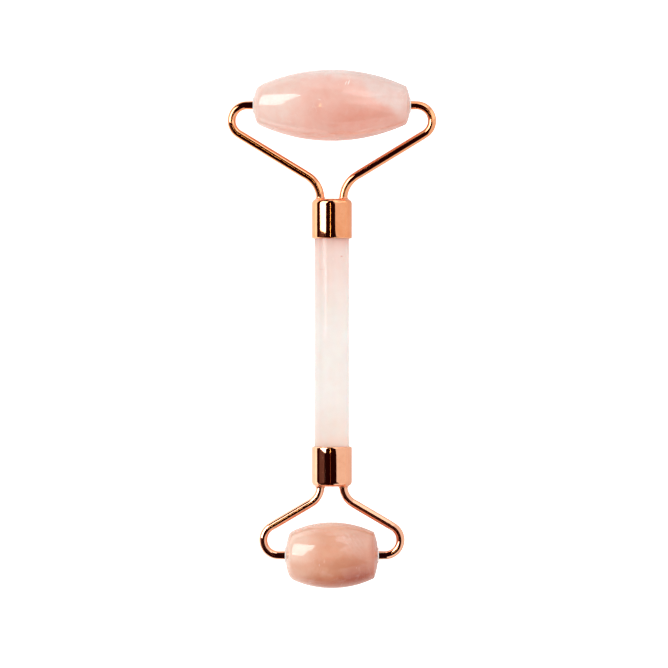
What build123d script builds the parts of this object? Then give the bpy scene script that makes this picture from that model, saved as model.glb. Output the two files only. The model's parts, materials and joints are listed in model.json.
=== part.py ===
"""Double-ended face roller: a stone rod with a barrel-shaped stone roller in a wire yoke at each end.

The tool lies flat. The origin is the middle of the handle, on its axis. +X is the direction of both roller
axles, +Y runs along the handle to the large roller and +Z points up. All lengths are in millimetres.

Each end of the tool is a "head". A head is worked out once, facing +Y, and the small one is then turned half
a turn about Z. Inside a head, from the outside in, are two bent wires, a metal cup with the wires soldered
into its closed end, and the end of the rod glued into its open end. The stone turns on the tips of the two
wires, in flanged nylon sleeves pressed into its ends.
"""

from build123d import *
import os
from dataclasses import dataclass
from math import cos, hypot, radians, sin, sqrt, tan

# ---- driving dimensions ----
handle_radius = 4.85
handle_visible_length = 58.0
handle_insertion = 8.0          # length of rod inside each ferrule
handle_chamfer = 0.4

ferrule_radius = 5.625
ferrule_length = 11.1
ferrule_wall = 0.6
ferrule_end_wall = 1.2
ferrule_closed_edge = 1.3       # outside rounding where the cup was drawn
ferrule_open_edge = 0.45        # outside rounding of the open rim
ferrule_bore_edge = 0.1         # the same rim, broken inside
ferrule_inner_edge = 0.4

wire_radius = 1.2
wire_tip_chamfer = 0.3
wire_offset_in_ferrule = 3.2    # centre of each wire from the handle's axis
wire_hole_clearance = 0.05      # filled with solder
solder_thickness = 0.9          # pool inside the cup, up to the cut ends of the wires
solder_fillet_height = 0.55
solder_fillet_width = 0.4
solder_fillet_lip = 0.08        # thickness of the fillet's upper edge on the wire
solder_fillet_depth = 0.3       # down over the rounded edge of the cup
solder_fillet_sag = 0.3         # share of its width and height that the fillet's middle still has
adhesive_recess = 0.3           # the glue stops short of the cup's open rim

bushing_outer_radius = 1.8
bushing_interference = 0.01     # press fit of the sleeve in the stone
bushing_running_clearance = 0.05
bushing_flange_radius = 2.1
bushing_flange_thickness = 0.3
bushing_length = 6.2            # sleeve inside the stone
bushing_edge = 0.1              # rounding of the flange's rim
axle_insertion = 5.5            # wire inside the stone, at each end

stone_hole_depth = 7.0
stone_hole_point_angle = 118.0  # included angle of the drill's point
stone_seat_radius = 2.3         # flat round the hole, for the bushing's flange
stone_corner_edge = 0.7         # rounding between barrel and end


@dataclass
class Head:
    """The dimensions that differ between the two ends of the tool."""
    name: str
    facing: int                 # +1 looks along +Y, -1 along -Y
    stone_length: float
    stone_radius: float         # at the middle of the barrel
    stone_end_radius: float     # where the barrel meets the end
    stone_end_dome: float       # how far the end stands proud of that corner
    half_span: float            # handle's axis to the wire's centre line at its widest
    bend_radius: float          # outer bend, on the centre line
    leg_slope: float            # degrees between the straight leg and the axle
    axle_distance: float        # axle to the ferrule's closed face


large = Head("large", 1, 43.5, 9.95, 5.3, 0.95, 28.0, 4.35, 31.4, 26.2)
small = Head("small", -1, 25.6, 9.2, 6.45, 1.0, 19.15, 4.3, 30.5, 19.3)

# ---- worked out from them, facing +Y ----
rod_end = handle_visible_length / 2 + handle_insertion
ferrule_open_face = handle_visible_length / 2
ferrule_closed_face = ferrule_open_face + ferrule_length
cup_floor = ferrule_closed_face - ferrule_end_wall
solder_floor = cup_floor - solder_thickness
ferrule_inner_radius = ferrule_radius - ferrule_wall
wire_hole_radius = wire_radius + wire_hole_clearance
edge_match = 0.01               # an edge is picked by its radius, to this closeness


def solid_of(shape):
    """The one solid that a boolean or sweep has left."""
    solids = shape.solids()
    assert len(solids) == 1, f"expected one solid, found {len(solids)}"
    return solids[0]


def rod_along_y(radius, start, end, x=0.0):
    """A plain cylinder parallel to the handle."""
    base = Plane(origin=(x, start, 0), x_dir=(1, 0, 0), z_dir=(0, 1, 0))
    return extrude(base * Circle(radius), end - start)


def handle_rod():
    """Ground and polished stone rod, its ends chamfered to enter the ferrules."""
    rod = rod_along_y(handle_radius, -rod_end, rod_end)
    ends = rod.edges().filter_by(GeomType.CIRCLE)
    return solid_of(chamfer(ends, handle_chamfer))


def open_rim(cup, radius):
    """The circular edge of that radius at the cup's open end."""
    circles = cup.edges().filter_by(GeomType.CIRCLE)
    rims = circles.filter_by_position(Axis.Y, ferrule_open_face, ferrule_open_face)
    return rims.filter_by(lambda edge: abs(edge.radius - radius) < edge_match)


def ferrule():
    """Drawn cup: closed end rounded, open rim just broken, and a hole through the floor for each wire."""
    cup = rod_along_y(ferrule_radius, ferrule_open_face, ferrule_closed_face)
    closed_rim = cup.edges().filter_by(GeomType.CIRCLE).sort_by(Axis.Y)[-1]
    cup = fillet(closed_rim, ferrule_closed_edge)

    hollow = rod_along_y(ferrule_inner_radius, ferrule_open_face, cup_floor)
    hollow_end = hollow.edges().filter_by(GeomType.CIRCLE).sort_by(Axis.Y)[-1]
    cup -= fillet(hollow_end, ferrule_inner_edge)

    for radius, edge in ((ferrule_radius, ferrule_open_edge), (ferrule_inner_radius, ferrule_bore_edge)):
        cup = fillet(open_rim(cup, radius), edge)
    for side in (-1, 1):
        cup -= rod_along_y(wire_hole_radius, cup_floor, ferrule_closed_face, side * wire_offset_in_ferrule)
    return solid_of(cup)


def shoulder_radius(head):
    """Radius of the inner bend, which brings the leg into line with the handle just as it meets the cup."""
    slope = radians(head.leg_slope)
    leg_run = head.half_span - head.bend_radius * (1 - sin(slope)) - wire_offset_in_ferrule
    leg_drop = head.axle_distance - head.bend_radius * (1 + cos(slope))
    return (leg_drop - tan(slope) * leg_run) / (cos(slope) - tan(slope) * (1 - sin(slope)))


def right_arm(head):
    """Bent wire on the +X side: axle tip, outer bend, straight leg, shoulder and root inside the cup."""
    axle_y = ferrule_closed_face + head.axle_distance
    slope = radians(head.leg_slope)
    shoulder = shoulder_radius(head)

    tip = (head.stone_length / 2 - axle_insertion, axle_y)
    bend_start = (head.half_span - head.bend_radius, axle_y)
    stub = Line(tip, bend_start)
    outer_bend = JernArc(bend_start, (1, 0), head.bend_radius, head.leg_slope - 180)
    leg_end = (wire_offset_in_ferrule + shoulder * (1 - sin(slope)),
               ferrule_closed_face + shoulder * cos(slope))
    leg = Line(outer_bend @ 1, leg_end)
    inner_bend = JernArc(leg_end, (-cos(slope), -sin(slope)), shoulder, 90 - head.leg_slope)
    root = Line(inner_bend @ 1, (wire_offset_in_ferrule, solder_floor))

    path = Wire([stub, outer_bend, leg, inner_bend, root])
    section = Plane(origin=path @ 0, z_dir=path % 0) * Circle(wire_radius)
    wire = solid_of(sweep(section, path=path))
    tip_rim = wire.edges().filter_by(GeomType.CIRCLE).sort_by_distance((*tip, 0))[0]
    return solid_of(chamfer(tip_rim, wire_tip_chamfer))


def solder_around_wire(x, cup):
    """Solder in the clearance round one wire, and the small concave fillet it leaves outside the cup."""
    sleeve = rod_along_y(wire_hole_radius, cup_floor, ferrule_closed_face, x)
    lip = wire_radius + solder_fillet_lip
    foot = wire_radius + solder_fillet_width
    foot_y = ferrule_closed_face - solder_fillet_depth
    top = ferrule_closed_face + solder_fillet_height
    middle = (lip + (foot - lip) * solder_fillet_sag,
              ferrule_closed_face + solder_fillet_height * solder_fillet_sag)
    outline = Polyline((lip, top), (0, top), (0, foot_y), (foot, foot_y), (foot, ferrule_closed_face))
    outline += ThreePointArc((foot, ferrule_closed_face), middle, (lip, top))
    collar = Pos(x, 0, 0) * revolve(make_face(outline), Axis.Y)
    return sleeve + (collar - cup)


def solder(arms, cup):
    """One casting of solder: the pool in the cup, the filled clearances and the fillets outside."""
    pool = rod_along_y(ferrule_inner_radius, solder_floor, cup_floor)
    pool_end = pool.edges().filter_by(GeomType.CIRCLE).sort_by(Axis.Y)[-1]
    metal = fillet(pool_end, ferrule_inner_edge)
    for side in (-1, 1):
        metal += solder_around_wire(side * wire_offset_in_ferrule, cup)
    for arm in arms:
        metal -= arm
    return solid_of(metal)


def adhesive(rod):
    """Epoxy that fills the cup from the solder to just inside the rim, all round the end of the rod."""
    filling = rod_along_y(ferrule_inner_radius, ferrule_open_face + adhesive_recess, solder_floor)
    return solid_of(filling - rod)


def roller_stone(head):
    """Barrel about the local Z axis: an arc for its side, shallow domed ends and a blind hole in each end."""
    half_length = head.stone_length / 2
    corner = half_length - head.stone_end_dome
    hole_bottom = half_length - stone_hole_depth
    hole_point = hole_bottom - bushing_outer_radius / tan(radians(stone_hole_point_angle / 2))
    # the end is part of a ball centred on the axle, through the corner and the rim of the seat
    dome_centre = (half_length + corner) / 2 - (
        head.stone_end_radius ** 2 - stone_seat_radius ** 2) / (2 * head.stone_end_dome)
    dome_radius = hypot(half_length - dome_centre, stone_seat_radius)
    dome_middle_radius = (stone_seat_radius + head.stone_end_radius) / 2
    dome_middle = dome_centre + sqrt(dome_radius ** 2 - dome_middle_radius ** 2)

    lower_corner, upper_corner = (head.stone_end_radius, -corner), (head.stone_end_radius, corner)
    side = ThreePointArc(lower_corner, (head.stone_radius, 0), upper_corner)
    dome = ThreePointArc(side @ 1, (dome_middle_radius, dome_middle), (stone_seat_radius, half_length))
    seat_and_hole = Polyline((stone_seat_radius, half_length), (bushing_outer_radius, half_length),
                             (bushing_outer_radius, hole_bottom), (0, hole_point))
    upper_end = dome + seat_and_hole
    core = Line((0, hole_point), (0, -hole_point))
    outline = side + upper_end + core + mirror(upper_end, about=Plane.XZ)
    stone = revolve(Plane.XZ * make_face(outline), Axis.Z)
    corners = stone.edges().filter_by(GeomType.CIRCLE).filter_by(
        lambda edge: abs(edge.radius - head.stone_end_radius) < edge_match)
    return solid_of(fillet(corners, stone_corner_edge))


def bushing():
    """Flanged nylon sleeve about the local Z axis, its flange standing on the plane z = 0."""
    sleeve_radius = bushing_outer_radius + bushing_interference
    body = extrude(Circle(sleeve_radius), -bushing_length)
    flange = extrude(Circle(bushing_flange_radius), bushing_flange_thickness)
    flange_rim = flange.edges().filter_by(GeomType.CIRCLE).sort_by(Axis.Z)[-1]
    body += fillet(flange_rim, bushing_edge)
    bore_start = Pos(0, 0, -bushing_length)
    bore = bore_start * extrude(Circle(wire_radius + bushing_running_clearance),
                                bushing_length + bushing_flange_thickness)
    return solid_of(body - bore)


def add_roller(head, yoke_arm, nodes):
    """Hang the stone on the axle by a hinge that turns without limit, and press a bushing into each end."""
    axle_y = head.facing * (ferrule_closed_face + head.axle_distance)
    axle = RevoluteJoint(f"{head.name}_axle", to_part=yoke_arm, axis=Axis((0, axle_y, 0), (1, 0, 0)),
                         angular_range=(0, 360))
    stone = roller_stone(head)
    axle.connect_to(RigidJoint("middle", stone), angle=0)
    nodes[f"{head.name}_roller_stone"] = stone

    for side_name, turn in (("right", 0), ("left", 180)):
        end_location = Rot(0, turn, 0) * Pos(0, 0, head.stone_length / 2)
        stone_end = RigidJoint(f"{side_name}_end", stone, stone.location * end_location)
        sleeve = bushing()
        stone_end.connect_to(RigidJoint("flange", sleeve))
        nodes[f"{head.name}_{side_name}_bushing"] = sleeve


def add_head(head, rod, nodes):
    """Cup, wires, solder and glue for one end of the rod, then its roller."""
    turned = Rot(0, 0, 0 if head.facing > 0 else 180)
    positive_arm = right_arm(head)
    negative_arm = mirror(positive_arm, about=Plane.YZ)
    arms = (positive_arm, negative_arm)
    # half a turn about Z puts the +X arm on the -X side
    right, left = arms if head.facing > 0 else arms[::-1]

    cup = ferrule()
    nodes[f"{head.name}_ferrule"] = turned * cup
    nodes[f"{head.name}_yoke_left_arm"] = turned * left
    nodes[f"{head.name}_yoke_right_arm"] = turned * right
    nodes[f"{head.name}_yoke_solder"] = turned * solder(arms, cup)
    nodes[f"{head.name}_ferrule_adhesive"] = turned * adhesive(rod)
    add_roller(head, nodes[f"{head.name}_yoke_right_arm"], nodes)


def face_roller():
    """Every separate piece of the tool, by node name."""
    nodes = {"handle_rod": handle_rod()}
    for head in (large, small):
        add_head(head, nodes["handle_rod"], nodes)
    return nodes


os.makedirs("parts", exist_ok=True)
for node, piece in face_roller().items():
    export_step(piece, f"parts/{node}.step")
    print(f"{node}: {piece.volume:.1f} mm3")
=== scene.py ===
"""Looks of the double-ended face roller: rose quartz rod and barrels, rose-gold cups and wires.

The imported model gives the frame: +X along the roller axles, +Y along the handle to the large roller,
+Z up, origin in the middle of the handle. Every piece built here stands in that frame, in metres, and
rides on its CAD body. Lengths in millimetres are multiplied by MM where they are used.
"""

import json
from dataclasses import dataclass
from math import atan2, cos, hypot, pi, radians, sin, tan

import bpy
import numpy as np
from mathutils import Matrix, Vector, noise


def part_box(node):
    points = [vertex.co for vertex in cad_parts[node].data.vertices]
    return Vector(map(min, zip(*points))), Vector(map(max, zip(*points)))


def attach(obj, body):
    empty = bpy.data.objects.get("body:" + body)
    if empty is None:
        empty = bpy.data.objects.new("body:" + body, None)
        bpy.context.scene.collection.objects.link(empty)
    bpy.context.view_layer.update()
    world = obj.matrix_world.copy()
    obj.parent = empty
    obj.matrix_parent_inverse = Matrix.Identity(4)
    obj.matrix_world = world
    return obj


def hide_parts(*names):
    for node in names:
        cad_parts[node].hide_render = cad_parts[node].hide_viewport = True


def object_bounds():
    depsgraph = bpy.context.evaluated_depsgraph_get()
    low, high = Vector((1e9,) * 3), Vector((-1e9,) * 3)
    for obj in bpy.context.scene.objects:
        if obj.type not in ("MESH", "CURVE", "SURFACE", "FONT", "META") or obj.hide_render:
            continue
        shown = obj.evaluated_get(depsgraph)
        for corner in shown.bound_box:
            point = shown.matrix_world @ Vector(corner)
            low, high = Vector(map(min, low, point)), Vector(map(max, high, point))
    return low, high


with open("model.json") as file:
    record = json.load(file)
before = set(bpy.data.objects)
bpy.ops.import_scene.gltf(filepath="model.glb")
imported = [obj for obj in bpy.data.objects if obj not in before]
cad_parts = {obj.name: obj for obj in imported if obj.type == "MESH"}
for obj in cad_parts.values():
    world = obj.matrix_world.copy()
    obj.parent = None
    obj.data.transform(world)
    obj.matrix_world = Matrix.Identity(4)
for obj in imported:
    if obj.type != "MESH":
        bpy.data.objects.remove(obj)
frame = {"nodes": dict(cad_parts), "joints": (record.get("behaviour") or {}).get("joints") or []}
cad_low, cad_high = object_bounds()

MM = 0.001
TURN = 2 * pi


# ---------------------------------------------------------------- sizes read from the frame

@dataclass
class Head:
    """One end of the tool: what the frame doesn't state outright about its stone and its wires, in mm."""
    name: str
    facing: int                 # +1 looks along +Y, -1 along -Y
    stone_end_radius: float     # barrel's radius where it meets the end
    stone_end_dome: float       # how far the end stands proud of that corner
    corner_rounding: dict       # mean rounding of that corner, by side
    wave_seed: int              # picks the unevenness of the stone's surface
    bend_radius: float          # outer bend of the wire, on its centre line
    leg_slope: float            # degrees between the wire's straight leg and the axle

    @property
    def axle_y(self):
        """Where the axle crosses the handle's axis, in metres."""
        spin = next(j for j in frame["joints"] if j["name"] == f"{self.name}_roller_spin")
        return spin["pos_m"][1]

    @property
    def stone_half_length(self):
        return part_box(f"{self.name}_roller_stone")[1].x

    @property
    def stone_radius(self):
        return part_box(f"{self.name}_roller_stone")[1].z

    @property
    def cup_face(self):
        """Distance from the origin to the closed face of the ferrule, along the handle."""
        low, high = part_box(f"{self.name}_ferrule")
        return max(abs(low.y), abs(high.y))


LARGE = Head("large", facing=1, stone_end_radius=5.3, stone_end_dome=0.95,
             corner_rounding={"left": 2.6, "right": 0.6}, wave_seed=1, bend_radius=4.35, leg_slope=31.4)
SMALL = Head("small", facing=-1, stone_end_radius=6.45, stone_end_dome=1.0,
             corner_rounding={"left": 2.4, "right": 0.5}, wave_seed=4, bend_radius=4.3, leg_slope=30.5)

CORNER_EASING = {"left": 16, "right": 1}    # how many times a profile's joins are smoothed
WIRE_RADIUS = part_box("large_yoke_left_arm")[1].z
WIRE_OFFSET_IN_CUP = 3.2 * MM
SLEEVE_HOLE_RADIUS = 1.8 * MM
SLEEVE_HOLE_DEPTH = 7.0 * MM
DRILL_POINT_DEPTH = 1.1 * MM        # past the hole's full depth
STONE_SEAT_RADIUS = 2.3 * MM        # flat round the hole for the sleeve's flange
ROD_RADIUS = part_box("handle_rod")[1].z
ROD_HALF_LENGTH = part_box("handle_rod")[1].y
CUP_OPEN_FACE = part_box("large_ferrule")[0].y
CUP_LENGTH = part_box("large_ferrule")[1].y - CUP_OPEN_FACE


# ---------------------------------------------------------------- mesh building

def skin(name, rings, sharp_degrees=40):
    """Closed mesh through successive rings of points, each end closed by a fan to the ring's middle."""
    rings = np.asarray(rings, float)
    count, around = rings.shape[:2]
    points = np.vstack([rings.reshape(-1, 3), rings[0].mean(0), rings[-1].mean(0)])
    first_middle, last_middle = count * around, count * around + 1
    here = np.arange(around)
    after = (here + 1) % around
    faces = []
    for ring in range(count - 1):
        low, high = ring * around, (ring + 1) * around
        faces += np.stack([low + here, low + after, high + after, high + here], 1).tolist()
    faces += [[first_middle, b, a] for a, b in zip(here.tolist(), after.tolist())]
    last = (count - 1) * around
    faces += [[last_middle, last + a, last + b] for a, b in zip(here.tolist(), after.tolist())]

    mesh = bpy.data.meshes.new(name)
    mesh.from_pydata(points.tolist(), [], faces)
    mesh.validate()
    mesh.shade_smooth()
    mesh.set_sharp_from_angle(angle=radians(sharp_degrees))
    piece = bpy.data.objects.new(name, mesh)
    bpy.context.scene.collection.objects.link(piece)
    return piece


def arc_points(centre, radius, start, end, count):
    """count + 1 points on an arc, as arrays of x and y. The arc's numbers may be arrays of many arcs."""
    share = np.linspace(0, 1, count + 1)[:, None]
    angle = start + (end - start) * share
    return centre[0] + radius * np.cos(angle), centre[1] + radius * np.sin(angle)


def uneven(points, size, amount, seed):
    """Smooth noise at each point, about +-amount, with lumps of about the given size."""
    shift = Vector((seed * 17.3, seed * 5.9, -seed * 11.1))
    flat = points.reshape(-1, 3)
    values = [noise.noise(Vector(p) / size + shift) for p in flat.tolist()]
    return amount * np.array(values).reshape(points.shape[:-1])


def half_barrel(head, rounding, easing):
    """Profile of half a barrel from its middle to the rim of its seat, as x and radius for each turn angle.

    The side is one arc, the end is part of a ball centred on the axle, and a third arc rounds the corner.
    rounding holds the radius of that arc at each turn angle, in metres, and easing is how many times the
    joins are smoothed.
    """
    half_length, radius = head.stone_half_length, head.stone_radius
    corner_x = half_length - head.stone_end_dome * MM
    corner_radius = head.stone_end_radius * MM
    sag = radius - corner_radius
    side_radius = (corner_x ** 2 + sag ** 2) / (2 * sag)
    side_centre = (0.0, radius - side_radius)
    ball_x = (half_length + corner_x) / 2 - (
        corner_radius ** 2 - STONE_SEAT_RADIUS ** 2) / (2 * head.stone_end_dome * MM)
    ball_radius = hypot(half_length - ball_x, STONE_SEAT_RADIUS)

    # the rounding's centre is where both other arcs, set in by its radius, cross
    apart = np.array([ball_x, -side_centre[1]])
    distance = np.linalg.norm(apart)
    along = apart / distance
    outward = np.array([-along[1], along[0]]) if along[0] > 0 else np.array([along[1], -along[0]])
    inset_side, inset_ball = side_radius - rounding, ball_radius - rounding
    reach = (inset_side ** 2 - inset_ball ** 2 + distance ** 2) / (2 * distance)
    rise = np.sqrt(inset_side ** 2 - reach ** 2)
    options = [(reach * along[0] + sign * rise * outward[0],
                side_centre[1] + reach * along[1] + sign * rise * outward[1]) for sign in (1, -1)]
    centre = max(options, key=lambda c: float(np.mean(c[0] + c[1])))

    side_angle = np.arctan2(centre[1] - side_centre[1], centre[0])
    ball_angle = np.arctan2(centre[1], centre[0] - ball_x)
    seat_angle = atan2(STONE_SEAT_RADIUS, half_length - ball_x)
    side_steps, corner_steps, end_steps = 52, 12, 10
    side = arc_points(side_centre, side_radius, pi / 2, side_angle, side_steps)
    corner = arc_points(centre, rounding, side_angle, ball_angle, corner_steps)
    end = arc_points((ball_x, 0.0), ball_radius, ball_angle, seat_angle, end_steps)
    profile = np.stack([np.vstack([side[axis], corner[axis][1:], end[axis][1:]]) for axis in (0, 1)])

    # polishing has eased the joins between the arcs, more and more over this stretch of the half length
    eased_from, eased_fully = 0.6, 0.9
    ease = np.clip((profile[0] / half_length - eased_from) / (eased_fully - eased_from), 0, 1)[1:-1]
    for _ in range(easing):
        around = (profile[:, :-2] + profile[:, 2:]) / 2
        profile[:, 1:-1] += ease / 2 * (around - profile[:, 1:-1])
    return profile


def roller_stone(head, around=192, waviness=0.03, lump=9.0, ground_width=2.0):
    """Hand-polished barrel: an outline of arcs, unevenly rounded corners and a barely uneven side."""
    seed = head.wave_seed
    turn = np.linspace(0, TURN, around, endpoint=False)
    halves = []
    for side, sign in (("left", -1), ("right", 1)):
        one_sided, three_lobed = 0.16 * np.cos(turn - sign - seed), 0.08 * np.cos(3 * turn + seed)
        rounding = head.corner_rounding[side] * MM * (1 + one_sided + three_lobed)
        x, r = half_barrel(head, rounding, CORNER_EASING[side])
        halves.append((sign * x, r))
    (left_x, left_r), (right_x, right_r) = halves
    x = np.vstack([left_x[:0:-1], right_x])
    r = np.vstack([left_r[:0:-1], right_r])
    points = np.stack([x, r * np.cos(turn), r * np.sin(turn)], -1)

    # the unevenness fades out towards the ground seats, so that the sleeves still sit flat
    fade = np.clip((r - STONE_SEAT_RADIUS) / (ground_width * MM), 0, 1)
    coarse = uneven(points, lump * MM, waviness * MM, seed)
    fine = uneven(points, lump * MM / 3, waviness * MM / 6, seed + 1)
    r = r + fade * (coarse + fine)

    # the blind holes for the sleeves, from the rim of each seat inwards
    hole_bottom = head.stone_half_length - SLEEVE_HOLE_DEPTH
    inner = [(head.stone_half_length, SLEEVE_HOLE_RADIUS), (hole_bottom, SLEEVE_HOLE_RADIUS),
             (hole_bottom - DRILL_POINT_DEPTH, 0.05 * MM)]
    hole_x = np.array([p[0] for p in inner])[:, None] * np.ones(around)
    hole_r = np.array([p[1] for p in inner])[:, None] * np.ones(around)
    x = np.vstack([-hole_x[::-1], x, hole_x])
    r = np.vstack([hole_r[::-1], r, hole_r])
    rings = np.stack([x, head.axle_y + r * np.cos(turn), r * np.sin(turn)], -1)
    return skin(f"{head.name}_quartz_barrel", rings)


def quartz_rod(around=160, along=181, waviness=0.02, lump=7.0, chamfer=0.4, seed=5):
    """Ground and polished rod, very slightly uneven along its length, with chamfered ends."""
    turn = np.linspace(0, TURN, around, endpoint=False)
    length = ROD_HALF_LENGTH
    body = np.linspace(-length + chamfer * MM, length - chamfer * MM, along)
    y = np.concatenate([[-length], body, [length]])
    r = np.full((len(y), around), ROD_RADIUS)
    r[0] = r[-1] = ROD_RADIUS - chamfer * MM
    y_grid = y[:, None] * np.ones(around)
    points = np.stack([r * np.cos(turn), y_grid, r * np.sin(turn)], -1)
    r = r + uneven(points, lump * MM, waviness * MM, seed) - waviness * MM / 2
    # rings run against the turn, so that the faces look outwards
    rings = np.stack([r * np.cos(-turn), y_grid, r * np.sin(-turn)], -1)
    return skin("quartz_rod", rings)


def shoulder_radius(head, drop, half_span):
    """Radius of the wire's inner bend, which turns the leg into line with the handle right at the cup."""
    slope, bend = radians(head.leg_slope), head.bend_radius * MM
    leg_run = half_span - bend * (1 - sin(slope)) - WIRE_OFFSET_IN_CUP
    leg_drop = drop - bend * (1 + cos(slope))
    return (leg_drop - tan(slope) * leg_run) / (cos(slope) - tan(slope) * (1 - sin(slope)))


def wire_path(head, side, step=0.22):
    """Centre line of one arm, from the axle's tip to the root in the cup: points, headings and curvature."""
    low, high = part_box(f"{head.name}_yoke_{side}_arm")
    half_span = max(abs(low.x), abs(high.x)) - WIRE_RADIUS
    # Known fault: the box's nearest side to x = 0 is the root's, not the tip's. The tip should end 5.5 mm
    # inside the stone, as in the CAD, but it runs on to this x, hidden in solid stone past the blind hole.
    tip_x = min(abs(low.x), abs(high.x))
    root_y = min(abs(low.y), abs(high.y))
    slope, bend = radians(head.leg_slope), head.bend_radius * MM
    axle = abs(head.axle_y)
    shoulder = shoulder_radius(head, axle - head.cup_face, half_span)

    # built for the +X arm of a head that faces +Y: straight lengths, and bends as (radius, degrees turned)
    stub = half_span - bend - tip_x
    leg_start_x = half_span - bend * (1 - sin(slope))
    leg_end_x = WIRE_OFFSET_IN_CUP + shoulder * (1 - sin(slope))
    leg = (leg_start_x - leg_end_x) / cos(slope)
    stretches = [("line", stub), ("bend", bend, head.leg_slope - 180), ("line", leg),
                 ("bend", shoulder, 90 - head.leg_slope), ("line", head.cup_face - root_y)]
    point, heading = np.array([tip_x, axle]), 0.0
    points, headings, bends = [], [], []
    for kind, size, *angle in stretches:
        turned = radians(angle[0]) if kind == "bend" else 0.0
        length = abs(turned) * size if kind == "bend" else size
        count = max(2, round(length / (step * MM)))
        for _ in range(count):
            points.append(point.copy())
            headings.append(heading)
            bends.append(np.sign(turned))
            middle = heading + turned / count / 2
            chord = 2 * size * sin(abs(turned) / count / 2) if kind == "bend" else length / count
            point = point + chord * np.array([cos(middle), sin(middle)])
            heading += turned / count
    points.append(point)
    headings.append(heading)
    bends.append(0.0)
    return np.array(points), np.array(headings), np.array(bends)


def yoke_arm(head, side, around=48):
    """Bent wire with slightly oval bends, and the soft flat that the bending tool leaves where each ends."""
    points, headings, bends = wire_path(head, side)
    turn = np.linspace(0, TURN, around, endpoint=False)
    travelled = np.concatenate([[0], np.cumsum(np.linalg.norm(np.diff(points, axis=0), axis=1))])
    ends_of_bends = travelled[1:][np.diff(bends) != 0]
    flattening, blend_points = 0.018, 9
    flat_length, inner_flat, outer_flat = 0.8 * MM, 0.035 * MM, 0.02 * MM
    oval = np.convolve(np.abs(bends), np.ones(blend_points) / blend_points, mode="same")
    radius = np.ones((len(points), around)) * WIRE_RADIUS
    radius *= 1 - flattening * oval[:, None] * np.cos(2 * turn)
    for mark in ends_of_bends:
        dent = np.exp(-((travelled - mark) / flat_length) ** 2)[:, None]
        radius -= inner_flat * dent * np.clip(np.cos(turn), 0, 1) ** 2
        radius -= outer_flat * dent * np.clip(-np.cos(turn), 0, 1) ** 4
    tip_chamfer = 0.3 * MM
    tip = np.clip(travelled / tip_chamfer, 0, 1)[:, None]
    radius -= tip_chamfer * (1 - tip)

    across = np.stack([-np.sin(headings), np.cos(headings)], 1)
    xy = points[:, None, :] + (radius * np.cos(turn))[..., None] * across[:, None, :]
    z = radius * np.sin(turn)
    x_sign = 1 if side == "right" else -1
    rings = np.stack([x_sign * xy[..., 0], head.facing * xy[..., 1], z], -1)
    if x_sign * head.facing < 0:
        rings = rings[:, ::-1]      # a mirrored arm would otherwise be inside out
    return skin(f"{head.name}_{side}_wire", rings)


# ---------------------------------------------------------------- materials

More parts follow.
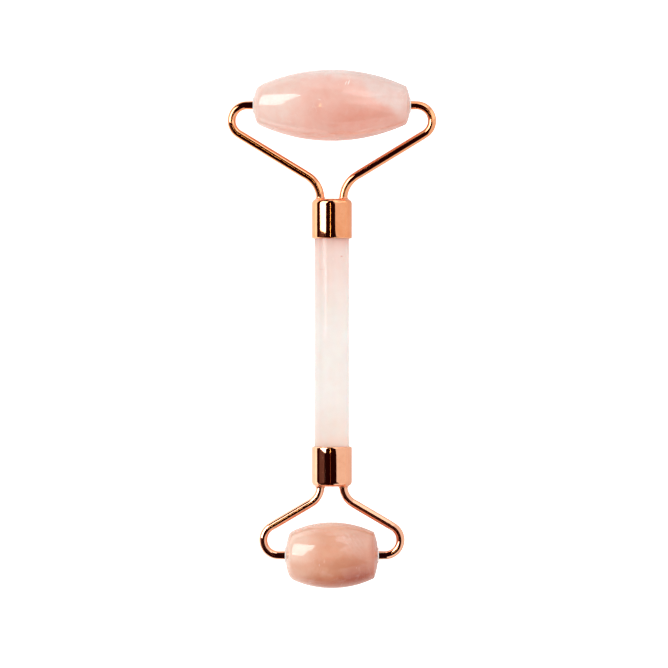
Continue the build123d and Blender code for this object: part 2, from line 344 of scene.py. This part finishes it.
class Graph:
    """One material's node tree round a single Principled shader, with short ways to say what feeds it."""

    def __init__(self, name):
        self.material = bpy.data.materials.new(name)
        self.material.use_nodes = True
        self.tree = self.material.node_tree
        self.tree.nodes.clear()
        self.shader = self.tree.nodes.new("ShaderNodeBsdfPrincipled")
        output = self.tree.nodes.new("ShaderNodeOutputMaterial")
        self.tree.links.new(self.shader.outputs[0], output.inputs["Surface"])
        self.object_point = self.tree.nodes.new("ShaderNodeTexCoord").outputs["Object"]

    def feed(self, socket, value):
        if isinstance(value, bpy.types.NodeSocket):
            self.tree.links.new(value, socket)
        else:
            socket.default_value = value

    def node(self, kind, inputs, output=0, **settings):
        """A node with its inputs fed by name or number, given back as one of its outputs."""
        made = self.tree.nodes.new(kind)
        for key, value in settings.items():
            setattr(made, key, value)
        for key, value in inputs.items():
            self.feed(made.inputs[key], value)
        return made.outputs[output]

    def set(self, **inputs):
        """Inputs of the Principled shader, with underscores for the spaces in their names."""
        for key, value in inputs.items():
            self.feed(self.shader.inputs[key.replace("_", " ")], value)

    def point_mm(self, centre=(0, 0, 0), stretch=(1, 1, 1)):
        """The point in millimetres from a centre given in metres, with each axis divided by its stretch."""
        from_centre = self.node("ShaderNodeVectorMath", {0: self.object_point, 1: tuple(centre)},
                                operation="SUBTRACT")
        scale = tuple(1 / (MM * s) for s in stretch)
        return self.node("ShaderNodeVectorMath", {0: from_centre, 1: scale}, operation="MULTIPLY")

    def maths(self, operation, a, b=0.0, clamp=False):
        return self.node("ShaderNodeMath", {0: a, 1: b}, operation=operation, use_clamp=clamp)

    def warp(self, point, size, amount):
        """The point pushed about by up to the amount, so that what is drawn from it has wandering edges."""
        push = self.node("ShaderNodeTexNoise", {"Vector": point, "Scale": 1 / size, "Detail": 3.0},
                         output="Color")
        centred = self.node("ShaderNodeVectorMath", {0: push, 1: (0.5, 0.5, 0.5)}, operation="SUBTRACT")
        scaled = self.node("ShaderNodeVectorMath", {0: centred, 1: (2 * amount,) * 3}, operation="MULTIPLY")
        return self.node("ShaderNodeVectorMath", {0: point, 1: scaled}, operation="ADD")

    def turned(self, point, degrees, centre=(0, 0, 0)):
        """The point seen from axes turned about Z, whose new X runs at that many degrees."""
        return self.node("ShaderNodeVectorRotate", {"Vector": point, "Center": tuple(centre),
                                                    "Angle": radians(-degrees)}, rotation_type="Z_AXIS")

    def step(self, value, low, high, to_low=0.0, to_high=1.0):
        """Smooth change from to_low to to_high as value goes from low to high."""
        return self.node("ShaderNodeMapRange", {"Value": value, "From Min": low, "From Max": high,
                                                "To Min": to_low, "To Max": to_high},
                         interpolation_type="SMOOTHSTEP")

    def noise(self, point, size, detail=3.0, roughness=0.5, distortion=0.0):
        """Noise with lumps of about the given size, in the point's units."""
        return self.node("ShaderNodeTexNoise", {"Vector": point, "Scale": 1 / size, "Detail": detail,
                                                "Roughness": roughness, "Distortion": distortion})

    def blob(self, point, centre, size, core=0.2):
        """1 inside an ellipsoid at centre, falling smoothly to 0 at its surface."""
        apart = self.node("ShaderNodeVectorMath", {0: point, 1: tuple(centre)}, operation="SUBTRACT")
        scaled = self.node("ShaderNodeVectorMath", {0: apart, 1: tuple(size)}, operation="DIVIDE")
        away = self.node("ShaderNodeVectorMath", {0: scaled}, output="Value", operation="LENGTH")
        return self.step(away, core, 1.0, 1.0, 0.0)

    def mix(self, share, first, second, blend="MIX"):
        """Colour mixed from first to second by share."""
        made = self.tree.nodes.new("ShaderNodeMix")
        made.data_type = "RGBA"
        made.blend_type = blend
        made.clamp_factor = True
        for socket, value in ((made.inputs[0], share), (made.inputs[6], first), (made.inputs[7], second)):
            self.feed(socket, value)
        return made.outputs[2]

    def bump(self, height, depth_mm, under=None):
        """Normal from a height that stands for depth_mm where it is 1."""
        inputs = {"Height": height, "Distance": depth_mm * MM, "Strength": 1.0}
        if under is not None:
            inputs["Normal"] = under
        return self.node("ShaderNodeBump", inputs)


def colour(red, green, blue):
    """Colour from display values of 0 to 255, as the linear numbers that Blender takes."""
    shares = [c / 255 for c in (red, green, blue)]
    return tuple(s / 12.92 if s <= 0.04045 else ((s + 0.055) / 1.055) ** 2.4 for s in shares) + (1.0,)


@dataclass
class Patch:
    """A soft-edged patch inside a stone, in mm from the stone's centre, its first axis turned about Z."""
    centre: tuple
    size: tuple
    tone: tuple
    share: float
    degrees: float = 0.0
    core: float = 0.1           # share of the patch that is full strength

    def strength(self, g, point):
        seen = g.turned(point, self.degrees, self.centre) if self.degrees else point
        return g.maths("MULTIPLY", g.blob(seen, self.centre, self.size, core=self.core), self.share)


def quartz(name, centre, body, patches, streaks=(), marks=(), dull=(), veins=0.3, cloudiness=0.5,
           polish=(0.05, 0.12), milkiness=0.5, variation=1.0, shine=0.5, coat=0.15, half_length=None):
    """Polished rose quartz: patches of colour that drift into each other, veils and flaws under the polish.

    Streaks are patches filled with fine drawn-out lines, marks are small flaws, and dull patches are rougher.
    A barrel gives its half_length, because its ends are ground and only its side has the full polish.
    """
    g = Graph(name)
    p = g.point_mm(centre)
    drift = g.noise(g.warp(p, 9.0, 2.5), 8.0, detail=3)
    pale = tuple(min(1.0, c * (1 + variation * more)) for c, more in zip(body, (0.02, 0.06, 0.08, 0)))
    deep = tuple(c * (1 - variation * less) for c, less in zip(body, (0.03, 0.1, 0.13, 0)))
    base = g.mix(g.step(drift, 0.3, 0.7), pale, deep)
    wandering = g.warp(p, 6.0, 1.8)
    for patch in patches:
        base = g.mix(patch.strength(g, wandering), base, patch.tone)

    # cloudy grain inside the stone, from a few millimetres down to a few tenths
    cloud = g.noise(g.warp(p, 3.0, 0.8), 2.4, detail=6, roughness=0.62)
    cloud_tint = (0.97, 0.83, 0.79, 1.0)
    base = g.mix(g.step(cloud, 0.34, 0.7, 0.0, cloudiness), base, cloud_tint, blend="MULTIPLY")
    milk = g.step(g.noise(p, 4.2, detail=4, roughness=0.6, distortion=0.5), 0.55, 0.75, 0.0, 0.2 * variation)
    base = g.mix(milk, base, colour(253, 232, 224))

    # veils: thin sheets where a slow noise crosses its middle value, only here and there
    sheet = g.noise(g.turned(g.point_mm(centre, stretch=(1.0, 2.0, 1.3)), 35), 3.4, detail=3, distortion=1.2)
    off_sheet = g.maths("ABSOLUTE", g.maths("SUBTRACT", sheet, 0.5))
    somewhere = g.step(g.noise(p, 6.0, detail=2), 0.5, 0.66)
    veil = g.maths("MULTIPLY", g.step(off_sheet, 0.0, 0.02, 1.0, 0.0), somewhere)
    base = g.mix(g.maths("MULTIPLY", veil, veins), base, colour(254, 234, 226))

    for patch in streaks:
        along = g.turned(g.warp(p, 4.0, 0.7), patch.degrees)
        fine = g.node("ShaderNodeVectorMath", {0: along, 1: (0.1, 1.5, 0.8)}, operation="MULTIPLY")
        lines = g.step(g.noise(fine, 1.0, detail=3), 0.48, 0.68)
        base = g.mix(g.maths("MULTIPLY", lines, patch.strength(g, p)), base, patch.tone)
    for patch in marks:
        base = g.mix(patch.strength(g, p), base, patch.tone)

    # specks: tiny healed cracks, each a short dash, gathered where the cloud is thick
    drawn_out = g.point_mm(centre, stretch=(0.7, 2.0, 1.0))
    cells = g.node("ShaderNodeTexVoronoi", {"Vector": drawn_out, "Scale": 0.4}, output="Distance")
    dash = g.maths("MULTIPLY", g.step(cells, 0.04, 0.12, 1.0, 0.0), g.step(cloud, 0.5, 0.56))
    base = g.mix(g.maths("MULTIPLY", dash, 0.35), base, colour(255, 238, 228))

    orange_peel = g.noise(p, 2.6, detail=2, roughness=0.4)
    hairline = g.noise(g.point_mm(centre, stretch=(6.0, 0.16, 0.5)), 1.0, detail=2)
    rough = g.step(g.noise(p, 1.7, detail=6, roughness=0.65), 0.3, 0.75, *polish)
    if half_length:
        from_end = g.maths("SUBTRACT", half_length / MM,
                           g.maths("ABSOLUTE", g.node("ShaderNodeSeparateXYZ", {0: p}, output="X")))
        rough = g.maths("ADD", rough, g.step(from_end, 0.2, 1.2, 0.25, 0.0))
    for patch in dull:
        rough = g.maths("ADD", rough, patch.strength(g, p))
    normal = g.bump(orange_peel, 0.01)
    normal = g.bump(g.step(hairline, 0.62, 0.72), 0.001, under=normal)
    g.set(Base_Color=base, Roughness=rough, Normal=normal, IOR=1.544, Specular_IOR_Level=shine,
          Subsurface_Weight=milkiness, Subsurface_Radius=(1.0, 0.6, 0.5), Subsurface_Scale=2.6 * MM,
          Coat_Weight=coat, Coat_Roughness=polish[0])
    return g.material


def rose_gold(name, grain=(0.09, 9.0, 0.09), wobble_mm=0.004, cup=False, paler=0.0):
    """Polished rose-gold plate: slow wobble from the polishing wheel, hairlines, tarnish and paler wear.

    A cup is worn at its two rims, and its surface falls away slightly towards the open one.
    """
    g = Graph(name)
    p = g.point_mm()
    lines = g.noise(g.point_mm(stretch=grain), 1.0, detail=3, roughness=0.6)
    tarnish = g.noise(p, 3.5, detail=5, roughness=0.6, distortion=0.4)
    fresh, tarnished, pale = (0.96, 0.42, 0.215, 1.0), (0.91, 0.355, 0.16, 1.0), (1.0, 0.64, 0.5, 1.0)
    worn_tone = (1.0, 0.56, 0.34, 1.0)
    base = g.mix(g.step(tarnish, 0.35, 0.72), fresh, tarnished)
    base = g.mix(paler, base, pale)
    smears = g.noise(p, 1.3, detail=4, roughness=0.6)
    rough = g.maths("ADD", g.step(smears, 0.35, 0.75, 0.035, 0.1), g.step(lines, 0.6, 0.8, 0.0, 0.05))
    wheel = g.noise(p, 2.4, detail=2, roughness=0.45)
    normal = g.bump(wheel, wobble_mm)
    normal = g.bump(g.noise(p, 0.55, detail=3, roughness=0.6), wobble_mm / 5, under=normal)
    normal = g.bump(lines, 0.0006, under=normal)
    if cup:
        y = g.node("ShaderNodeSeparateXYZ", {0: p}, output="Y")
        from_open_rim = g.maths("SUBTRACT", g.maths("ABSOLUTE", y), CUP_OPEN_FACE / MM)
        wear_width, fall_width, fall_depth = 0.5, 2.2, 0.085
        from_middle = g.maths("ABSOLUTE", g.maths("SUBTRACT", from_open_rim, CUP_LENGTH / MM / 2))
        worn = g.step(from_middle, CUP_LENGTH / MM / 2 - wear_width, CUP_LENGTH / MM / 2)
        patchy = g.maths("MULTIPLY", worn, g.step(smears, 0.3, 0.6, 0.2, 0.7))
        base = g.mix(patchy, base, worn_tone)
        near_rim = g.maths("SUBTRACT", 1.0, g.maths("DIVIDE", from_open_rim, fall_width), clamp=True)
        fall = g.maths("MULTIPLY", g.maths("MULTIPLY", near_rim, near_rim), -1.0)
        normal = g.bump(fall, fall_depth, under=normal)
    else:
        worn = g.node("ShaderNodeNewGeometry", {}, output="Pointiness")
        base = g.mix(g.step(worn, 0.53, 0.6, 0.0, 0.5), base, worn_tone)
    g.set(Base_Color=base, Metallic=1.0, Roughness=rough, Normal=normal)
    return g.material


def solder():
    """Plated solder: the colour of the plate, duller and lumpy where it froze."""
    g = Graph("plated_solder")
    p = g.point_mm()
    lumps = g.noise(p, 0.9, detail=4, roughness=0.6)
    pits = g.noise(p, 0.25, detail=2)
    base = g.mix(g.step(lumps, 0.3, 0.7), (0.95, 0.46, 0.27, 1.0), (0.72, 0.3, 0.17, 1.0))
    g.set(Base_Color=base, Metallic=1.0, Roughness=g.step(pits, 0.3, 0.8, 0.12, 0.32),
          Normal=g.bump(lumps, 0.05))
    return g.material


def nylon():
    """Moulded white nylon, waxy and a little translucent, with faint grime in its flow marks."""
    g = Graph("moulded_nylon")
    p = g.point_mm()
    flow = g.noise(p, 0.8, detail=4, roughness=0.6, distortion=0.5)
    base = g.mix(g.step(flow, 0.35, 0.75), (0.97, 0.96, 0.945, 1.0), (0.93, 0.9, 0.87, 1.0))
    g.set(Base_Color=base, Roughness=g.step(flow, 0.3, 0.7, 0.28, 0.42), IOR=1.53,
          Subsurface_Weight=0.2, Subsurface_Radius=(1.0, 0.95, 0.9), Subsurface_Scale=0.15 * MM,
          Normal=g.bump(flow, 0.01))
    return g.material


def epoxy():
    """Cured clear-cream epoxy with tiny bubbles."""
    g = Graph("cured_epoxy")
    p = g.point_mm()
    bubbles = g.node("ShaderNodeTexVoronoi", {"Vector": p, "Scale": 2.6}, output="Distance")
    cloud = g.noise(p, 1.1, detail=3)
    base = g.mix(g.step(cloud, 0.3, 0.7), (0.86, 0.72, 0.58, 1.0), (0.78, 0.6, 0.45, 1.0))
    g.set(Base_Color=base, Roughness=g.step(cloud, 0.3, 0.7, 0.12, 0.25), IOR=1.55,
          Subsurface_Weight=0.5, Subsurface_Radius=(1.0, 0.8, 0.55), Subsurface_Scale=0.6 * MM,
          Normal=g.bump(g.step(bubbles, 0.1, 0.3), 0.02))
    return g.material


def dress(piece, material):
    """Give a piece this one material."""
    piece.data.materials.clear()
    piece.data.materials.append(material)
    return piece


# ---------------------------------------------------------------- the object

def large_stone_quartz():
    """Pink, paler along the upper side and towards both ends, with painted reflections: a pale diagonal patch
    at the upper right and two lines along the lower side.
    """
    flaw = colour(255, 242, 234)
    return quartz("large_rose_quartz", (0, LARGE.axle_y, 0), colour(243, 196, 182), patches=[
        Patch((0, 10.5, 3), (27, 5.5, 14), colour(252, 231, 225), 0.9),
        Patch((-16, 1, 4), (14.5, 14, 14), colour(253, 222, 211), 0.92, core=0.3),
        Patch((-8, -6, 6), (13, 5, 9), colour(247, 200, 186), 0.6),
        Patch((7, -4.5, 7), (19, 7, 9), colour(233, 168, 150), 0.97, degrees=-8),
        Patch((17, -3.5, 6), (8, 5, 9), colour(224, 164, 147), 0.6),
        # painted reflection: paler diagonal patch at the upper right, where the card on the right shows in
        # the polish
        Patch((16.5, 5, 5), (15, 7.5, 14), colour(236, 210, 202), 0.95, degrees=-35, core=0.62),
        Patch((11, 10.5, 3), (12, 4.5, 14), colour(252, 226, 217), 0.8),
        Patch((21, 0, 3), (3.5, 7, 9), colour(228, 180, 167), 0.6),
        Patch((17, -8, 3), (7, 3, 9), colour(246, 214, 205), 0.55)],
        # painted reflections: a darker and a paler line along the lower side, where edges of the surroundings
        # show in the polish
        streaks=[Patch((-1, -8.2, 3), (12, 1.8, 6), colour(238, 150, 122), 0.6, degrees=2, core=0.3),
                 Patch((8, -7.8, 3), (9, 1.8, 6), colour(254, 212, 196), 0.6, degrees=12, core=0.3)],
        marks=[Patch((3.9, 5.7, 8), (0.95, 0.17, 5), flaw, 0.85, degrees=68, core=0.3),
               Patch((4.7, 5.9, 8), (1.1, 0.22, 5), flaw, 0.9, degrees=70, core=0.3),
               Patch((-3.4, 1.0, 9), (0.7, 0.3, 5), flaw, 0.5, degrees=-20)],
        variation=0.6, half_length=LARGE.stone_half_length,
        dull=[Patch((-9, -9, 3), (17, 5, 9), None, 0.28, core=0.4)])


def small_stone_quartz():
    """Tan, browner along the lower side."""
    return quartz("small_rose_quartz", (0, SMALL.axle_y, 0), colour(234, 178, 151), patches=[
        Patch((-10, 2.5, 6), (8, 12, 12), colour(252, 218, 200), 0.92, core=0.2),
        Patch((-7.5, -3, 6), (6, 3, 9), colour(234, 182, 156), 0.75, degrees=-10),
        Patch((0, 9, 4), (15, 4, 9), colour(251, 214, 193), 0.75),
        Patch((7, 4, 6), (8, 6, 11), colour(220, 171, 152), 0.85),
        Patch((7.5, -1, 6), (7.5, 4.5, 10), colour(205, 140, 116), 0.75),
        Patch((1.5, -2.5, 8), (8, 4, 7), colour(204, 137, 106), 0.7),
        Patch((-1, -8, 5), (11, 5.5, 9), colour(187, 94, 54), 0.85),
        Patch((8, -6.1, 6), (10, 6, 10), colour(172, 79, 53), 0.93),
        Patch((12.5, 0, 4), (3.5, 12, 10), colour(196, 122, 105), 0.8),
        Patch((7, 9, 3), (8, 2.5, 9), colour(222, 156, 136), 0.35)],
        streaks=[Patch((5, 5, 7), (7, 6, 9), colour(242, 204, 186), 0.35, degrees=-58, core=0.2),
                 Patch((-3, -6, 6), (8, 5, 9), colour(208, 140, 108), 0.25, degrees=72, core=0.2)],
        marks=[Patch((-2.1, -1.2, 8), (0.9, 0.35, 5), colour(246, 204, 178), 0.5, degrees=85)],
        veins=0.12, variation=0.6, half_length=SMALL.stone_half_length,
        dull=[Patch((-3, 9, 3), (14, 3.5, 9), None, 0.1)])


def rod_quartz():
    """Almost white, with pinker ends: painted shade where the cups take the light out of the rod."""
    return quartz("handle_rose_quartz", (0, 0, 0), colour(244, 238, 233), patches=[
        # the pinker ends are painted shade, deepest next to the cups
        Patch((0, 33, 0), (30, 29, 30), colour(242, 217, 208), 0.9, core=0.3),
        Patch((0, 33, 0), (30, 9, 30), colour(230, 162, 145), 0.95),
        Patch((0, -33, 0), (30, 19, 30), colour(243, 222, 211), 0.85, core=0.2),
        Patch((0, -31.5, 0), (30, 7, 30), colour(252, 215, 200), 0.85)],
        marks=[Patch((2.7, 24.0, 4), (0.5, 0.3, 2), colour(226, 150, 130), 0.7),
               Patch((-2.9, 20.4, 4), (1.4, 0.25, 3), colour(240, 196, 184), 0.5, degrees=-6)],
        veins=0.1, cloudiness=0.15, polish=(0.06, 0.11), milkiness=0.7, variation=0.3, shine=0.25, coat=0.0)


def add_object():
    cup_metals = {"large": rose_gold("rose_gold_cup", wobble_mm=0.005, cup=True),
                  "small": rose_gold("paler_rose_gold_cup", wobble_mm=0.005, cup=True, paler=0.3)}
    wire_metals = {"large": rose_gold("rose_gold_wire", wobble_mm=0.002),
                   "small": rose_gold("paler_rose_gold_wire", wobble_mm=0.002, paler=0.4)}
    solder_metal, sleeve_nylon, glue = solder(), nylon(), epoxy()

    rod = dress(quartz_rod(), rod_quartz())
    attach(rod, "handle")
    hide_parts("handle_rod")

    for head, stone_quartz in ((LARGE, large_stone_quartz()), (SMALL, small_stone_quartz())):
        stone = dress(roller_stone(head), stone_quartz)
        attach(stone, f"{head.name}_roller")
        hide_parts(f"{head.name}_roller_stone")
        for side in ("left", "right"):
            arm = dress(yoke_arm(head, side), wire_metals[head.name])
            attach(arm, "handle")
            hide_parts(f"{head.name}_yoke_{side}_arm")
            dress(frame["nodes"][f"{head.name}_{side}_bushing"], sleeve_nylon)
        dress(frame["nodes"][f"{head.name}_ferrule"], cup_metals[head.name])
        dress(frame["nodes"][f"{head.name}_yoke_solder"], solder_metal)
        dress(frame["nodes"][f"{head.name}_ferrule_adhesive"], glue)


# ---------------------------------------------------------------- the stage

def glow_material(name, strength, tint=(1, 1, 1)):
    material = bpy.data.materials.new(name)
    material.use_nodes = True
    tree = material.node_tree
    tree.nodes.clear()
    emission = tree.nodes.new("ShaderNodeEmission")
    emission.inputs["Color"].default_value = (*tint, 1.0)
    emission.inputs["Strength"].default_value = strength
    output = tree.nodes.new("ShaderNodeOutputMaterial")
    tree.links.new(emission.outputs[0], output.inputs["Surface"])
    return material


def panel(name, corners, strength, tint=(1, 1, 1), lights_up=True, shines=True):
    """Glowing four-cornered card, in mm, that the camera doesn't see.

    A card that doesn't light up shows only in reflections, and one that doesn't shine never shows in them.
    """
    mesh = bpy.data.meshes.new(name)
    mesh.from_pydata([[c * MM for c in corner] for corner in corners], [], [(0, 1, 2, 3)])
    card = bpy.data.objects.new(name, mesh)
    bpy.context.scene.collection.objects.link(card)
    mesh.materials.append(glow_material(name, strength, tint))
    card.visible_camera = False
    card.visible_shadow = False
    card.visible_diffuse = lights_up
    card.visible_transmission = lights_up
    card.visible_glossy = shines


def upright_card(centre_azimuth, distance, outline):
    """Corners of an upright card that faces the origin, from points measured along it and up from z = 0."""
    azimuth = radians(centre_azimuth)
    out = np.array([cos(azimuth), sin(azimuth), 0.0])
    along = np.array([sin(azimuth), -cos(azimuth), 0.0])
    up = np.array([0.0, 0.0, 1.0])
    return [tuple(out * distance + along * s + up * z) for s, z in outline]


def upright_rectangle(centre_azimuth, distance, left, right, bottom, top):
    outline = [(left, bottom), (right, bottom), (right, top), (left, top)]
    return upright_card(centre_azimuth, distance, outline)


def add_lights():
    floor_z = cad_low.z / MM
    # tall window far to the left, with a leaning near edge; it shines more than it lights
    window = upright_card(165, 1570, [(-330, 545), (938, 645), (1620, 2705), (-440, 2225)])
    panel("window_shine", window, 5.8, lights_up=False)
    panel("window_light", window, 1.6, shines=False)
    # dim curtain that carries on from the window's near edge
    curtain = upright_card(165, 1575, [(-1790, 425), (-320, 425), (-400, 1745), (-1790, 1745)])
    panel("curtain", curtain, 0.13, (1, 0.5, 0.45), lights_up=False)
    # broad white card to the right and rear, up to about 19 degrees from overhead
    panel("right_light", upright_rectangle(35, 175, -150, 1500, floor_z, 500), 1.08, shines=False)
    panel("right_shine", upright_rectangle(35, 175, -75, 1500, floor_z, 500), 0.93, lights_up=False)
    # its rear end shines only in a band, brighter than the rest, over a dimmer foot
    panel("rear_band", upright_rectangle(35, 175, -190, -75, 80, 230), 2.2, lights_up=False)
    panel("rear_foot", upright_rectangle(35, 175, -150, -75, floor_z, 80), 0.6, lights_up=False)
    # brighter patch in front of it, placed for the small head's metal
    panel("right_glow", [(78, 105, floor_z), (100, 74, floor_z), (100, 74, 450), (78, 105, 450)], 1.5,
          lights_up=False)
    # low white cards beyond the large roller and beyond the small one
    panel("rear_card", [(-20, 112, floor_z), (70, 112, floor_z), (70, 112, 45), (-20, 112, 45)], 1.1,
          lights_up=False)
    panel("front_card", upright_rectangle(-65, 199, -150, 60, floor_z, 147), 1.0, lights_up=False)
    # dark surround low on the left, which hides the far floor from the metal
    panel("left_flag", upright_rectangle(180, 150, -60, 105, floor_z, 36), 0.03, (1, 0.06, 0.05),
          lights_up=False)
    # thin warm strip, almost overhead, dying away towards the small roller
    for name, start, end, strength, tint in (("warm_strip", -25, 110, 8.0, (1, 0.75, 0.27)),
                                             ("warm_strip_tail", -300, -25, 0.8, (1, 0.35, 0.2))):
        panel(name, [(-75, start, 500), (-67, start, 500), (-67, end, 500), (-75, end, 500)], strength, tint,
              lights_up=False)


def add_world():
    """Pale grey to the camera, a soft fill to matt surfaces and almost black to mirrors."""
    world = bpy.data.worlds.new("studio")
    bpy.context.scene.world = world
    world.use_nodes = True
    tree = world.node_tree
    tree.nodes.clear()
    path = tree.nodes.new("ShaderNodeLightPath")
    fill, dark, pale_grey = (tree.nodes.new("ShaderNodeBackground") for _ in range(3))
    fill.inputs["Color"].default_value = (1.0, 0.985, 0.975, 1.0)
    fill.inputs["Strength"].default_value = 0.97
    dark.inputs["Color"].default_value = (1.0, 0.06, 0.05, 1.0)
    dark.inputs["Strength"].default_value = 0.014
    pale_grey.inputs["Color"].default_value = (0.8, 0.8, 0.8, 1.0)
    pale_grey.inputs["Strength"].default_value = 1.0
    mirrors = tree.nodes.new("ShaderNodeMixShader")
    camera = tree.nodes.new("ShaderNodeMixShader")
    output = tree.nodes.new("ShaderNodeOutputWorld")
    tree.links.new(path.outputs["Is Glossy Ray"], mirrors.inputs[0])
    tree.links.new(fill.outputs[0], mirrors.inputs[1])
    tree.links.new(dark.outputs[0], mirrors.inputs[2])
    tree.links.new(path.outputs["Is Camera Ray"], camera.inputs[0])
    tree.links.new(mirrors.outputs[0], camera.inputs[1])
    tree.links.new(pale_grey.outputs[0], camera.inputs[2])
    tree.links.new(camera.outputs[0], output.inputs["Surface"])


def add_floor():
    """White table just under the large roller.

    The camera sees it burnt out. Mirrors see it bright on the window's side, and fading to dark far off
    along Y, so that no hard horizon shows in the stones.
    """
    half_width, z = 3.0, cad_low.z
    corners = [(x * half_width, y * half_width, z) for x, y in ((-1, -1), (1, -1), (1, 1), (-1, 1))]
    mesh = bpy.data.meshes.new("floor")
    mesh.from_pydata(corners, [], [(0, 1, 2, 3)])
    floor = bpy.data.objects.new("floor", mesh)
    bpy.context.scene.collection.objects.link(floor)
    g = Graph("white_table")
    x = g.node("ShaderNodeSeparateXYZ", {0: g.point_mm()}, output="X")
    y = g.node("ShaderNodeSeparateXYZ", {0: g.point_mm()}, output="Y")
    bright_within, dark_beyond, burnt_out = 40, 220, 0.9
    near = g.step(g.maths("ABSOLUTE", y), bright_within, dark_beyond, 1.0, 0.0)
    fading_across_handle = g.step(x, -15, 15, 0.9, 0.0)
    dimmer_near_handle = g.step(x, -48, -26, 1.0, 0.55)
    window_side = g.maths("MULTIPLY", fading_across_handle, dimmer_near_handle)
    seen = g.node("ShaderNodeLightPath", {}, output="Is Camera Ray")
    mirrored = g.node("ShaderNodeLightPath", {}, output="Is Glossy Ray")
    boost = g.maths("ADD", g.maths("MULTIPLY", seen, burnt_out),
                    g.maths("MULTIPLY", mirrored, g.maths("MULTIPLY", near, window_side)))
    g.set(Base_Color=g.mix(near, (0.2, 0.19, 0.185, 1.0), (0.86, 0.85, 0.85, 1.0)), Roughness=0.7,
          Specular_IOR_Level=0.1, Emission_Color=(1.0, 0.985, 0.975, 1.0), Emission_Strength=boost)
    mesh.materials.append(g.material)


def add_camera():
    """Straight down from far off, with the large roller at the top of the picture."""
    seen_height = 186.6 * MM
    middle_x, middle_y = 0.6 * MM, 2.4 * MM
    lens, sensor = 200.0, 36.0
    data = bpy.data.cameras.new("overhead")
    data.lens = lens
    data.sensor_width = sensor
    data.clip_end = 20.0
    camera = bpy.data.objects.new("overhead", data)
    bpy.context.scene.collection.objects.link(camera)
    camera.location = (middle_x, middle_y, seen_height * lens / sensor)
    bpy.context.scene.camera = camera


add_object()
add_floor()
add_lights()
add_world()
add_camera()
bpy.context.scene.view_settings.view_transform = "Standard"
bpy.context.scene.cycles.max_bounces = 8
